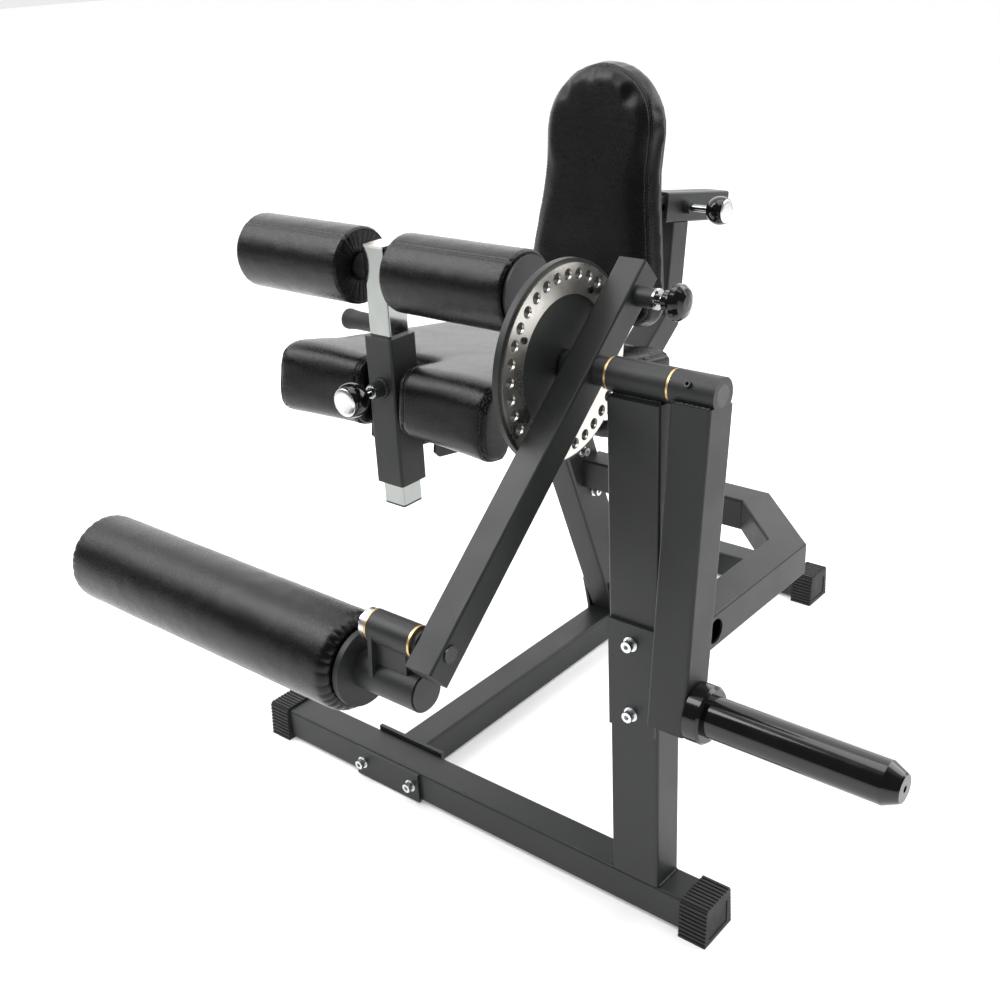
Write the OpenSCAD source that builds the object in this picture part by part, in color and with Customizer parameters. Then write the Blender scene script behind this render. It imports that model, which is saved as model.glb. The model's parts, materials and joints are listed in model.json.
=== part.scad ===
// Plate-loaded seated leg extension and leg curl machine.
// The origin is on the floor, under the middle of the whole machine.
// X runs towards the weight horn, Y towards the backrest and Z up.

/* [Frame tube] */
// Side of the square frame tube
tube_w = 50; // [49:0.5:51]
// Wall of the frame tube
tube_wall = 3; // [2:0.5:4]
// Outer corner radius of the frame tube
tube_r = 4; // [3:0.5:6]
// Rubber under the frame tube at each foot
foot_base = 4; // [3:1:6]

/* [Floor frame] */
// Reach of the front beam to the left of the seat centre
beam_left = 257; // [220:1:300]
// Reach of the front beam to the right of the seat centre
beam_right = 555; // [545:1:600]
// Half length of the rear beam
rear_half = 257; // [200:1:300]
// Front face of the rear beam
rear_y = 876; // [850:1:900]
// Width of the upright post along the beam
post_w = 70; // [66:1:72]
// Middle of the upright post
post_x = 448.5; // [447:0.5:450]
// Forward lean of the seat strut in degrees
strut_lean = 20.7; // [18:0.1:23]
// Middle height of the side brace
brace_z = 361; // [350:1:370]

/* [Shaft and index disc] */
// Height of the main shaft
shaft_z = 732; // [728:1:736]
// Radius of the main shaft
shaft_r = 12.5; // [11:0.5:13]
// Radius of the index disc
disc_r = 121; // [119:1:124]
// Number of index holes
index_holes = 32; // [32]
// Radius of the index hole circle
index_r = 103.3; // [102:0.1:105]
// Horn height under the shaft, along the lever
lever_reach = 372; // [340:1:390]
// Forward lean of the weight lever in degrees
lever_lean = 6.88; // [4:0.01:10]
// Length of the plate sleeve
horn_length = 207; // [180:1:220]

/* [Roller arm] */
// Side of the arm tube
arm_w = 38; // [37:0.5:38]
// Angle of the arm from straight down in degrees
arm_angle = 49.15; // [48:0.05:50]
// Arm length below the shaft
arm_reach = 394; // [390:1:400]
// Arm length above the shaft
arm_top = 141; // [135:1:150]
// Radius of the ankle roller
ankle_r = 60; // [50:1:62]

/* [Thigh hold-down] */
// Side of the inner slide tubes
slide_w = 38; // [38]
// Height of the thigh roller axle
thigh_z = 789; // [785:1:800]
// Radius of the thigh rollers
thigh_r = 53; // [40:1:55]
// Spacing of the holes in the thigh post
thigh_pitch = 25; // [25]

/* [Seat and back] */
// Backward tilt of the seat in degrees
recline = 9; // [9]
// Half width of the seat pad
seat_half = 200; // [180:1:210]
// Thickness of the seat pad over its board
seat_thick = 61; // [50:1:65]
// Distance of the back pad face behind the seat hinge line
back_face = 395; // [385:1:400]
// Spacing of the holes in the back slide
back_pitch = 30; // [30]

/* [Hidden] */
$fn = 64;

// Shared colours
coat = "#33363a";
zinc = "#b9bcbf";
chrome = "#d5d8da";
bronze = "#b08a4e";
vinyl = "#1b1b1d";
rubber = "#151516";

// Middle of the machine, seen from above
mid_x = 231.5;
mid_y = 312.5;

// Clearances
press = 0.02;
running = 0.05;
gap = 0.2;

// Floor frame
tube_h = tube_w / 2;
tube_top = foot_base + tube_w;
tube_mid = foot_base + tube_h;
plate_t = 5;
back_plate_t = 6;
plate_y = tube_w + back_plate_t;
cap_wall = 5;
cap_length = 40;
bolt_r = 5;
washer_r = 9.5;
washer_t = 2;
base_bolts = [-50, 50];
post_bolts = [brace_z - 50, brace_z + 49];

// Side brace: two bends of 45 degrees in plan
brace_end_y = 386.65;
brace_corner_x = 337.65;
brace_cross_y = 497;
mitre = tan(22.5);

// Strut from the base tube to the seat tube
strut_depth = 70;
strut_y = 602.5;
strut_bolts = [brace_z - 41, brace_z + 41];
foot_bolts = [[586, 40], [614, 40], [577, 92]];

// Seat frame: origin of the tilted plane, then distances along and up it
seat_y = 107;
seat_z = 535;
seat_end = 542.65;
back_u = 636;
back_w = 118.35;
receiver_w = 287;
rail_x = 58;
rail_t = 4;
board_w = 50;
board_t = 12;
notch_half = 35;
notch_y = 118;
handle_u = 198;
handle_w = 25;
bar_r = 12.5;
bend_r = 28;
handle_x = 218;
handle_top = 110;
grip_start = 246;
grip_end = 335;

// Receivers and slides
post_y = 82;
receiver_low = 487;
receiver_high = 699;
slide_wall = 2.5;
pin_r = 6;
boss_r = 11;
thigh_pin_z = 630;
slide_axis = receiver_w + tube_h;
back_pin_u = 645;
back_start = 590;
back_end = 790;
slide_start = 450;
slide_end = 786;
hole_r = 6.5;

// Shaft group, listed from the index disc to the weight horn
shaft_y = 24.5;
shaft_start = 325;
disc_x = 331;
disc_t = 8;
ring_x = disc_x + disc_t;
ring_t = 3;
housing_r = 20.5;
housing_x = 409.5;
housing_end = 487.5;
bush_r = 16;
flange_t = 3;
hub_x = housing_end + flange_t + gap;
hub_end = 547.7;
horn_r = 25;
horn_x = 570;
horn_y = shaft_y - lever_reach * sin(lever_lean);
horn_z = shaft_z - lever_reach * cos(lever_lean);
index_start = 90 - arm_angle;
index_step = 360 / index_holes;

// Arm group
arm_x = 350.5;
arm_mid = arm_x + arm_w / 2;
sleeve_x = ring_x + 4.5;
sleeve_end = 406.3;
sleeve_r = 17;
pin_y = shaft_y + index_r * sin(arm_angle);
pin_z = shaft_z + index_r * cos(arm_angle);
swing_y = -254;
swing_z = 499;
swing_r = 10;

// Carriage and ankle roller
axle_z = 437;
pivot_r = 19;
pivot_x = 281;
pivot_end = 343;
axle_r = 12.5;
axle_tube_r = 24;
ankle_left = -245;
ankle_right = 247;

// Thigh rollers
roller_in = 40;
roller_out = 240;

// Moves from the floor-frame coordinates to the part's own origin
module place() {
    translate([-mid_x, -mid_y, 0]) children();
}

// Tilted plane of the seat: Y runs back along the seat, Z up off it
module tilted() {
    place()
        translate([0, seat_y, seat_z])
            rotate([-recline, 0, 0])
                children();
}

module block(low, high) {
    translate(low) cube(high - low);
}

module rod_x(x0, x1, y, z, r) {
    translate([x0, y, z]) rotate([0, 90, 0]) cylinder(h = x1 - x0, r = r);
}

module rod_y(y0, y1, x, z, r) {
    translate([x, y0, z]) rotate([-90, 0, 0]) cylinder(h = y1 - y0, r = r);
}

// Rectangle with round corners
module rounded(w, h, r) {
    square([w - 2 * r, h], center = true);
    square([w, h - 2 * r], center = true);
    for (sx = [-1, 1], sy = [-1, 1])
        translate([sx * (w / 2 - r), sy * (h / 2 - r)])
            circle(r = r, $fn = 32);
}

// Section of a rectangular tube
module ring(w, h, wall, r) {
    difference() {
        rounded(w, h, r);
        rounded(w - 2 * wall, h - 2 * wall, max(r - wall, 0.6));
    }
}

module frame_ring() {
    ring(tube_w, tube_w, tube_wall, tube_r);
}

// Lays an extrusion along +X or +Y from a start point
module along_x(start) {
    translate(start) rotate([90, 0, 90]) children();
}

module along_y(start) {
    translate(start) rotate([-90, 0, 0]) children();
}

// Frame tube along +Y whose ends are cut on a slant, in Y per Z
module mitred_tube(length, start_slope, end_slope) {
    h = tube_h + 1;
    intersection() {
        along_y([0, -tube_w, 0]) linear_extrude(length + 2 * tube_w) frame_ring();
        rotate([90, 0, 90])
            linear_extrude(tube_w + 2, center = true)
                polygon([[-h * start_slope, -h], [length - h * end_slope, -h],
                    [length + h * end_slope, h], [h * start_slope, h]]);
    }
}

// Bolt with a socket head at z = 0, two washers and a nut at the far end
module through_bolt(grip) {
    head_r = 7;
    head_h = 9;
    nut_r = 9;
    nut_h = 8;
    difference() {
        union() {
            translate([0, 0, -washer_t]) cylinder(h = washer_t, r = washer_r);
            translate([0, 0, -washer_t - head_h]) cylinder(h = head_h, r = head_r);
            cylinder(h = grip + nut_h + washer_t, r = bolt_r);
            translate([0, 0, grip]) cylinder(h = washer_t, r = washer_r);
            translate([0, 0, grip + washer_t]) cylinder(h = nut_h, r = nut_r, $fn = 6);
        }
        translate([0, 0, -washer_t - head_h - 1]) cylinder(h = 6, r = 3.5, $fn = 6);
    }
}

module bolt_hole(grip) {
    translate([0, 0, -1]) cylinder(h = grip + 2, r = bolt_r + press);
}

// Places of the frame bolts; children() is the bolt or its hole
module at_base_bolts() {
    for (x = base_bolts) along_y([x, -plate_t, tube_mid]) children();
}

module at_post_bolts() {
    for (z = post_bolts) along_y([post_x, -plate_t, z]) children();
}

module at_strut_bolts() {
    for (z = strut_bolts)
        translate([tube_h + back_plate_t, strut_y - (z - tube_top) * tan(strut_lean), z])
            rotate([0, -90, 0])
                children();
}

module at_foot_bolts() {
    for (p = foot_bolts)
        translate([tube_h + plate_t, p[0], p[1]]) rotate([0, -90, 0]) children();
}

clamp_grip = plate_t + plate_y;
strut_grip = tube_w + back_plate_t;
foot_grip = tube_w + 2 * plate_t;

module front_beam() {
    color(coat) place() difference() {
        along_x([-beam_left, tube_h, tube_mid])
            linear_extrude(beam_left + beam_right) frame_ring();
        at_base_bolts() bolt_hole(clamp_grip);
    }
}

// Ribbed section of a rubber cap: it widens towards the floor
rib_pitch = 6.2;
rib_depth = 1.8;
rib_steps = [[0, 0], [0, 3.8], [rib_depth, 3.8], [rib_depth, rib_pitch]];
foot_top = tube_top + 4;

function foot_half(z) = tube_h + 8 - 3.5 * z / foot_top;

function foot_side() = [for (k = [0:8], p = rib_steps)
    [foot_half(k * rib_pitch) - p[0], k * rib_pitch + p[1]]];

function foot_crest() = [for (k = [0:8], p = rib_steps)
    [tube_h + 2.5 - k * rib_pitch - p[1], foot_top - p[0]]];

function mirrored(points) = [for (i = [len(points) - 1:-1:0]) [-points[i][0], points[i][1]]];

// Rubber cap over a beam end; x is the end and side its direction
module foot_cap(x, side, y) {
    translate([x, y, 0]) scale([side, 1, 1]) difference() {
        translate([cap_wall - cap_length, 0, 0]) rotate([90, 0, 90])
            linear_extrude(cap_length)
                polygon(concat(foot_side(), foot_crest(), mirrored(foot_side())));
        along_x([-cap_length, 0, tube_mid])
            linear_extrude(cap_length) rounded(tube_w + press, tube_w + press, tube_r);
        block([cap_wall - 1.2, -tube_h + 3, 7], [cap_wall + 1, tube_h - 3, tube_top - 12]);
    }
}

module rubber_feet() {
    color(rubber) place() {
        foot_cap(beam_right, 1, tube_h);
        foot_cap(-beam_left, -1, tube_h);
        foot_cap(rear_half, 1, rear_y + tube_h);
        foot_cap(-rear_half, -1, rear_y + tube_h);
    }
}

module post() {
    post_top = shaft_z - housing_r + 2.5;
    color(coat) place() difference() {
        union() {
            translate([post_x, tube_h, tube_top])
                linear_extrude(post_top - tube_top)
                    ring(post_w, tube_w, tube_wall, tube_r);
            translate([post_x, tube_h, post_top - 4])
                linear_extrude(4) rounded(post_w, tube_w, tube_r);
        }
        rod_x(post_x - post_w, post_x + post_w, shaft_y, shaft_z, housing_r);
        at_post_bolts() bolt_hole(clamp_grip);
    }
}

module pivot_housing() {
    color(coat) place() difference() {
        rod_x(housing_x, housing_end, shaft_y, shaft_z, housing_r);
        rod_x(housing_x - 1, housing_end + 1, shaft_y, shaft_z, bush_r);
    }
}

// Flanged plain bearing along +X; out is the outer end and side its flange
module bush(x, side, y, z, r, flange_r, bore, length) {
    difference() {
        union() {
            rod_x(min(x, x - side * length), max(x, x - side * length), y, z, r - press);
            rod_x(min(x, x + side * flange_t), max(x, x + side * flange_t), y, z, flange_r);
        }
        rod_x(x - length - 5, x + length + 5, y, z, bore);
    }
}

module housing_bushes() {
    color(bronze) place() {
        bush(housing_x, -1, shaft_y, shaft_z, bush_r, housing_r - 0.5, shaft_r + running, 22);
        bush(housing_end, 1, shaft_y, shaft_z, bush_r, housing_r - 0.5, shaft_r + running, 22);
    }
}

module base_tube() {
    color(coat) place() difference() {
        along_y([0, plate_y, tube_mid])
            linear_extrude(rear_y - plate_y) frame_ring();
        at_foot_bolts() bolt_hole(foot_grip);
    }
}

// Clamp plates of the front beam and the cheeks that hold the strut foot
module base_plates() {
    cheek_low = 16;
    cheek_high = 116;
    color(coat) place() {
        difference() {
            union() {
                block([-65, -plate_t, 3], [65, 0, tube_top - 2]);
                block([-65, tube_w, foot_base], [65, plate_y, tube_top + 6]);
            }
            at_base_bolts() bolt_hole(clamp_grip);
        }
        difference() {
            for (s = [-1, 1])
                translate([s * (tube_h + plate_t / 2), 0, 0]) rotate([90, 0, 90])
                    linear_extrude(plate_t, center = true)
                        polygon([[560, cheek_low], [645, cheek_low], [645, tube_top],
                            [617, cheek_high], [547, cheek_high], [560, tube_top]]);
            at_foot_bolts() bolt_hole(foot_grip);
        }
    }
}

module brace_side() {
    color(coat) place() difference() {
        translate([post_x, plate_y, brace_z]) rotate([0, -90, 0])
            mitred_tube(brace_end_y - plate_y, 0, -mitre);
        rod_x(post_x + tube_h - 8, post_x + tube_h + 8, 150, brace_z, 17);
    }
}

module brace_corner() {
    run_x = post_x - brace_corner_x;
    run_y = brace_cross_y - brace_end_y;
    color(coat) place()
        translate([post_x, brace_end_y, brace_z]) rotate([0, -90, 45])
            mitred_tube(sqrt(run_x * run_x + run_y * run_y), mitre, -mitre);
}

module brace_cross() {
    color(coat) place()
        translate([brace_corner_x, brace_cross_y, brace_z]) rotate([0, -90, 90])
            mitred_tube(brace_corner_x - tube_h - back_plate_t, mitre, 0);
}

// Welded end plates of the side brace, at the post and at the strut
module brace_plates() {
    half = post_w / 2 - 2;
    strut_plate = 124;
    color(coat) place() difference() {
        union() {
            block([post_x - half, -plate_t, brace_z - 75], [post_x + half, 0, brace_z + 75]);
            block([post_x - half, tube_w, brace_z - 75],
                [post_x + half, plate_y, brace_z + 75]);
            translate([tube_h, strut_y - (brace_z - tube_top) * tan(strut_lean), brace_z])
                rotate([strut_lean, 0, 0])
                    translate([0, -strut_depth / 2 + 1, -strut_plate / 2])
                        cube([back_plate_t, strut_depth - 2, strut_plate]);
        }
        at_post_bolts() bolt_hole(clamp_grip);
        at_strut_bolts() bolt_hole(strut_grip);
    }
}

module strut() {
    low = 300;
    high = 700;
    slope = tan(recline);
    color(coat) place() difference() {
        intersection() {
            translate([0, strut_y, tube_top]) rotate([strut_lean, 0, 0])
                translate([0, 0, -60])
                    linear_extrude(600) ring(tube_w, strut_depth, tube_wall, tube_r);
            rotate([90, 0, 90]) linear_extrude(tube_w + 2, center = true)
                polygon([[low, tube_top], [high, tube_top],
                    [high, seat_z - (high - seat_y) * slope],
                    [low, seat_z - (low - seat_y) * slope]]);
        }
        at_strut_bolts() bolt_hole(strut_grip);
        at_foot_bolts() bolt_hole(foot_grip);
    }
}

module frame_bolts() {
    color(zinc) place() {
        at_base_bolts() through_bolt(clamp_grip);
        at_post_bolts() through_bolt(clamp_grip);
        at_strut_bolts() through_bolt(strut_grip);
        at_foot_bolts() through_bolt(foot_grip);
    }
}

module rear_beam() {
    color(coat) place()
        along_x([-rear_half, rear_y + tube_h, tube_mid])
            linear_extrude(2 * rear_half) frame_ring();
}

module seat_tube() {
    start = tube_h * tan(recline);
    color(coat) tilted() translate([0, -start, tube_h])
        mitred_tube(seat_end + start, -tan(recline), -mitre);
}

module back_diagonal() {
    run_u = back_u - seat_end;
    run_w = back_w - tube_h;
    color(coat) tilted() translate([0, seat_end, tube_h]) rotate([45, 0, 0])
        mitred_tube(sqrt(run_u * run_u + run_w * run_w), mitre, -mitre);
}

module back_upright() {
    color(coat) tilted() translate([0, back_u, back_w]) rotate([90, 0, 0])
        mitred_tube(receiver_w - back_w, mitre, 0);
}

// Two side plates beside the seat tube, with their cross ties
module seat_rails() {
    color(coat) tilted() difference() {
        for (s = [-1, 1]) {
            translate([s * (rail_x + rail_t / 2), 0, 0]) rotate([90, 0, 90])
                linear_extrude(rail_t, center = true)
                    polygon([[-18, 26], [-18, 0], [-8, -8], [300, -8],
                        [300, board_w], [26, board_w], [8, 42]]);
            for (u = [60, 270])
                translate([s * (tube_h + rail_x) / 2, u, tube_h])
                    cube([rail_x - tube_h, rail_t, 36], center = true);
        }
        rod_x(-rail_x - 10, rail_x + 10, handle_u, handle_w, bar_r + press);
    }
}

module seat_notch(half) {
    place() block([-half, -60, 400], [half, notch_y, 800]);
}

module seat_board() {
    color("#2b2622") difference() {
        tilted() translate([0, 0, board_w]) linear_extrude(board_t)
            polygon([[-180, 26], [180, 26], [180, 350], [150, 366], [-150, 366], [-180, 350]]);
        seat_notch(notch_half);
    }
}

// Seat pad: a flat slab whose front rolls over, in two lobes beside the post
module seat_pad() {
    roll_r = 46;
    roll_w = 76;
    outer_u = -47;
    inner_u = -23;
    rear_u = 378;
    low = board_w + board_t;
    lean = atan2(outer_u - inner_u, seat_half - notch_half);
    roll_outline = concat([for (a = [90 : 15 : 345]) [roll_r * cos(a), roll_r * sin(a)]],
        [[roll_r * cos(345), roll_r]]);
    color(vinyl) difference() {
        tilted() intersection() {
            union() {
                block([-seat_half - 10, inner_u + 16, low],
                    [seat_half + 10, rear_u + 10, low + seat_thick]);
                for (side = [-1, 1]) scale([side, 1, 1]) intersection() {
                    translate([notch_half, inner_u, roll_w]) rotate([0, 0, lean])
                        translate([-30, 0, 0]) rotate([90, 0, 90])
                            linear_extrude(240) polygon(roll_outline);
                    block([notch_half + 1, -200, 0], [seat_half + 20, 200, 200]);
                }
            }
            linear_extrude(200) polygon([[-seat_half, -150], [seat_half, -150],
                [seat_half, rear_u - 22], [seat_half - 22, rear_u],
                [22 - seat_half, rear_u], [-seat_half, rear_u - 22]]);
        }
        seat_notch(notch_half);
    }
}

// Upright receiver of the thigh post, with the boss of its pull pin
module thigh_receiver() {
    color(coat) place() difference() {
        union() {
            translate([0, post_y, receiver_low])
                linear_extrude(receiver_high - receiver_low) frame_ring();
            rod_y(post_y - tube_h - 17, post_y - tube_h + 1, 0, thigh_pin_z, boss_r);
        }
        rod_y(post_y - tube_h - 20, post_y - tube_h + 8, 0, thigh_pin_z, pin_r + running);
    }
}

// Plastic sleeve between a receiver and its slide, along +Z
module liner(length, lip) {
    fit = slide_w + 2 * running;
    difference() {
        union() {
            linear_extrude(length)
                rounded(tube_w - 2 * tube_wall - press, tube_w - 2 * tube_wall - press, 1.2);
            if (lip > 0)
                translate([0, 0, length]) linear_extrude(lip) rounded(tube_w, tube_w, tube_r);
        }
        translate([0, 0, -1]) linear_extrude(length + lip + 2) rounded(fit, fit, 2.5);
    }
}

module receiver_liners() {
    color(rubber) {
        place() {
            translate([0, post_y, receiver_high - 40]) liner(40, 2);
            translate([0, post_y, receiver_low]) liner(36, 0);
        }
        tilted() {
            translate([0, back_start + 32, slide_axis]) rotate([90, 0, 0]) liner(32, 2);
            translate([0, back_end - 36, slide_axis]) rotate([-90, 0, 0]) liner(36, 0);
        }
    }
}

// Bent bar of one handle, from the seat tube to inside its grip
module handle_path(r) {
    low_bend = handle_w + bend_r;
    rod_x(tube_h, handle_x - bend_r, 0, handle_w, r);
    translate([handle_x - bend_r, 0, low_bend]) rotate([90, 0, 0]) rotate([0, 0, -90])
        rotate_extrude(angle = 90) translate([bend_r, 0]) circle(r = r);
    translate([handle_x, 0, low_bend])
        cylinder(h = handle_top - bend_r - low_bend, r = r);
    translate([handle_x + bend_r, 0, handle_top - bend_r]) rotate([90, 0, 0]) rotate([0, 0, 90])
        rotate_extrude(angle = 90) translate([bend_r, 0]) circle(r = r);
    rod_x(handle_x + bend_r, grip_end - 5, 0, handle_top, r);
}

module handle_bars() {
    color(coat) tilted()
        for (s = [-1, 1]) translate([0, handle_u, 0]) scale([s, 1, 1]) handle_path(bar_r);
}

module hand_grips() {
    color(rubber) tilted()
        for (s = [-1, 1])
            translate([s * (grip_start + 1), handle_u, handle_top]) rotate([0, s * 90, 0])
                difference() {
                    rotate_extrude() polygon([[0, 0], [15, 0], [15.6, 2], [15.2, 12],
                        [15.2, 62], [16.4, 76], [17.4, 82], [17, 87], [15, 88], [0, 88]]);
                    translate([0, 0, -1]) cylinder(h = 85, r = bar_r + press);
                }
}

// Level receiver of the back slide, with the boss of its pull pin
module back_receiver() {
    color(coat) tilted() difference() {
        union() {
            along_y([0, back_start, slide_axis])
                linear_extrude(back_end - back_start) frame_ring();
            rod_x(tube_h - 1, tube_h + 13, back_pin_u, slide_axis, boss_r);
        }
        rod_x(tube_h - 8, tube_h + 20, back_pin_u, slide_axis, pin_r + running);
    }
}

module main_shaft() {
    color(zinc) place() rod_x(shaft_start, hub_end, shaft_y, shaft_z, shaft_r);
}

// Places of the index holes around the shaft
module at_index() {
    for (k = [0:index_holes - 1])
        translate([0, shaft_y, shaft_z]) rotate([index_start + k * index_step, 0, 0])
            translate([0, index_r, 0])
                children();
}

module index_disc() {
    color(coat) place() difference() {
        rod_x(disc_x, ring_x, shaft_y, shaft_z, disc_r);
        rod_x(disc_x - 1, ring_x + 1, shaft_y, shaft_z, shaft_r + press);
        at_index() rod_x(disc_x - 1, ring_x + 1, 0, 0, 7);
    }
}

module index_ring() {
    color(chrome) place() difference() {
        rod_x(ring_x, ring_x + ring_t, shaft_y, shaft_z, 116);
        rod_x(ring_x - 1, ring_x + ring_t + 1, shaft_y, shaft_z, 80.6);
        at_index() rod_x(ring_x - 1, ring_x + ring_t + 1, 0, 0, 7);
    }
}

// Four button screws of the ring, the arm spacer and the set screw of the hub
module shaft_screws() {
    face = ring_x + ring_t;
    set_x = hub_x + 24;
    color(zinc) place() {
        for (k = [0:3])
            translate([0, shaft_y, shaft_z]) rotate([57.5 + 90 * k, 0, 0]) difference() {
                rod_x(face, face + 2, 90, 0, 4);
                rod_x(face + 0.8, face + 3, 90, 0, 1.6);
            }
        difference() {
            rod_x(ring_x, sleeve_x - gap, shaft_y, shaft_z, sleeve_r);
            rod_x(ring_x - 1, sleeve_x, shaft_y, shaft_z, shaft_r + press);
        }
        translate([set_x, shaft_y, shaft_z]) rotate([-35, 0, 0]) difference() {
            rod_y(-housing_r - 3, -shaft_r - 0.1, 0, 0, 4);
            rod_y(-housing_r - 4, -housing_r, 0, 0, 2);
        }
    }
}

// Hanging lever, closed at its foot and coped to the hub at its head
module weight_lever() {
    top = 12;
    foot = lever_reach + 27;
    lever_x = hub_end - tube_h;
    color(coat) place() difference() {
        translate([lever_x, shaft_y, shaft_z]) rotate([-lever_lean, 0, 0]) union() {
            translate([0, 0, -foot]) linear_extrude(foot - top) frame_ring();
            translate([0, 0, -foot]) linear_extrude(3) rounded(tube_w, tube_w, tube_r);
        }
        rod_x(lever_x - tube_w, lever_x + tube_w, shaft_y, shaft_z, housing_r);
    }
}

module lever_hub() {
    set_x = hub_x + 24;
    color(coat) place() difference() {
        rod_x(hub_x, hub_end, shaft_y, shaft_z, housing_r);
        rod_x(hub_x - 1, hub_end + 1, shaft_y, shaft_z, shaft_r + press);
        translate([set_x, shaft_y, shaft_z]) rotate([-35, 0, 0])
            rod_y(-housing_r - 2, -shaft_r + 2, 0, 0, 4 + press);
    }
}

module horn_collar() {
    color(rubber) place() translate([hub_end, horn_y, horn_z]) rotate([0, 90, 0])
        rotate_extrude() polygon([[0, 0], [33, 0], [35, 2], [35, 19], [32, horn_x - hub_end],
            [0, horn_x - hub_end]]);
}

module horn_sleeve() {
    color(rubber) place() difference() {
        rod_x(horn_x, horn_x + horn_length, horn_y, horn_z, horn_r);
        rod_x(horn_x - 1, horn_x + horn_length + 1, horn_y, horn_z, horn_r - 3);
    }
}

module horn_cap() {
    plug = 20;
    color(rubber) place() translate([horn_x + horn_length, horn_y, horn_z]) rotate([0, 90, 0])
        difference() {
            union() {
                rotate_extrude() polygon([[0, 0], [horn_r, 0], [horn_r, 3], [17.5, 19],
                    [16, 21], [0, 21]]);
                translate([0, 0, -plug]) cylinder(h = plug, r = horn_r - 3 - press);
            }
            translate([0, 0, 6]) cylinder(h = 20, r = 4);
        }
}

// Roller arm: square tube on the shaft sleeve, with the boss of its pull pin
module roller_arm() {
    color(coat) place() difference() {
        union() {
            translate([arm_mid, shaft_y, shaft_z]) rotate([-arm_angle, 0, 0])
                translate([0, 0, -arm_reach]) {
                    linear_extrude(arm_reach + arm_top) ring(arm_w, arm_w, slide_wall, 3);
                    linear_extrude(3) rounded(arm_w, arm_w, 3);
                    translate([0, 0, arm_reach + arm_top - 3])
                        linear_extrude(3) rounded(arm_w, arm_w, 3);
                }
            rod_x(sleeve_x, sleeve_end, shaft_y, shaft_z, sleeve_r);
            rod_x(arm_x + arm_w - 1, 417, pin_y, pin_z, 12);
            rod_x(pivot_end + flange_t + gap, arm_x + 1, swing_y, swing_z, 15);
        }
        rod_x(sleeve_x - 1, sleeve_end + 1, shaft_y, shaft_z, shaft_r + running);
        rod_x(arm_x - 5, 420, pin_y, pin_z, pin_r + running);
        rod_x(pivot_end, arm_x + arm_w + 5, swing_y, swing_z, swing_r + press);
    }
}

module swing_shaft() {
    color(zinc) place()
        rod_x(pivot_x - 19, arm_x + arm_w + 2, swing_y, swing_z, swing_r);
}

module swing_collar() {
    collar_end = pivot_x - flange_t - gap;
    color(zinc) place() difference() {
        rod_x(collar_end - 8, collar_end, swing_y, swing_z, 18);
        rod_x(collar_end - 9, collar_end + 1, swing_y, swing_z, swing_r + press);
    }
}

// Link between the swing pivot and the axle of the ankle roller
module swing_bracket() {
    drop = swing_z - axle_z;
    color(coat) place() difference() {
        union() {
            rod_x(pivot_x, pivot_end, swing_y, swing_z, pivot_r);
            rod_x(258, pivot_end + 5, swing_y, axle_z, axle_tube_r);
            rod_x(ankle_left - 7, 300, swing_y, axle_z, axle_r);
            block([289, swing_y - 12, axle_z], [333, swing_y - 4, swing_z]);
            translate([284, swing_y, axle_z]) rotate([90, 0, 90]) linear_extrude(6) {
                circle(r = axle_tube_r);
                translate([0, drop]) circle(r = pivot_r);
                polygon([[-axle_tube_r + 1, 3], [axle_tube_r - 1, 3],
                    [pivot_r - 0.5, drop + 2], [0.5 - pivot_r, drop + 2]]);
            }
        }
        rod_x(pivot_x - 5, pivot_end + 5, swing_y, swing_z, 13);
    }
}

module swing_bushes() {
    color(bronze) place() {
        bush(pivot_x, -1, swing_y, swing_z, 13, pivot_r, swing_r + running, 20);
        bush(pivot_end, 1, swing_y, swing_z, 13, pivot_r, swing_r + running, 20);
    }
}

// End cap of the axle on the left and the plug of the axle tube on the right
module axle_caps() {
    color(rubber) place() {
        difference() {
            rod_x(ankle_left - 10, ankle_left - 2, swing_y, axle_z, 30);
            rod_x(ankle_left - 7, ankle_left, swing_y, axle_z, axle_r + press);
        }
        rod_x(pivot_end + 5, pivot_end + 7, swing_y, axle_z, axle_tube_r - 2);
    }
}

module flange_disc() {
    color(coat) place() difference() {
        rod_x(ankle_right + 3.5, 258, swing_y, axle_z, 47);
        rod_x(ankle_right, 259, swing_y, axle_z, axle_r + press);
    }
}

module ankle_roller() {
    color(vinyl) place() difference() {
        rod_x(ankle_left, ankle_right, swing_y, axle_z, ankle_r);
        rod_x(ankle_left - 1, ankle_right + 1, swing_y, axle_z, pivot_r);
    }
}

module ankle_core() {
    color(rubber) place() difference() {
        rod_x(ankle_left - 1, ankle_right + 2, swing_y, axle_z, pivot_r - press);
        rod_x(ankle_left - 3, ankle_right + 4, swing_y, axle_z, axle_r + running);
    }
}

// Chromed post of the thigh rollers, with adjusting holes in its front face
module thigh_post() {
    low = 456;
    high = 821;
    color(chrome) place() difference() {
        translate([0, post_y, low]) linear_extrude(high - low)
            ring(slide_w, slide_w, slide_wall, 3);
        for (k = [-4:1])
            rod_y(post_y - slide_w, post_y - slide_w / 2 + 5, 0,
                thigh_pin_z + k * thigh_pitch, hole_r);
        rod_x(-slide_w, slide_w, post_y, thigh_z, axle_r + press);
    }
}

// Push-in plug for the end of a slide tube, along +Z
module end_plug(w, cap) {
    inner = w - 2 * slide_wall - press;
    linear_extrude(cap) rounded(w, w, 3);
    translate([0, 0, -14]) linear_extrude(14) rounded(inner, inner, 1);
}

module thigh_top_cap() {
    color(zinc) place() translate([0, post_y, 821]) end_plug(slide_w, 3);
}

module thigh_foot_plug() {
    color(rubber) place() translate([0, post_y, 456]) rotate([180, 0, 0]) end_plug(slide_w, 3);
}

module thigh_axle() {
    color(coat) place() rod_x(-roller_out - 6, roller_out + 6, post_y, thigh_z, axle_r);
}

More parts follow.
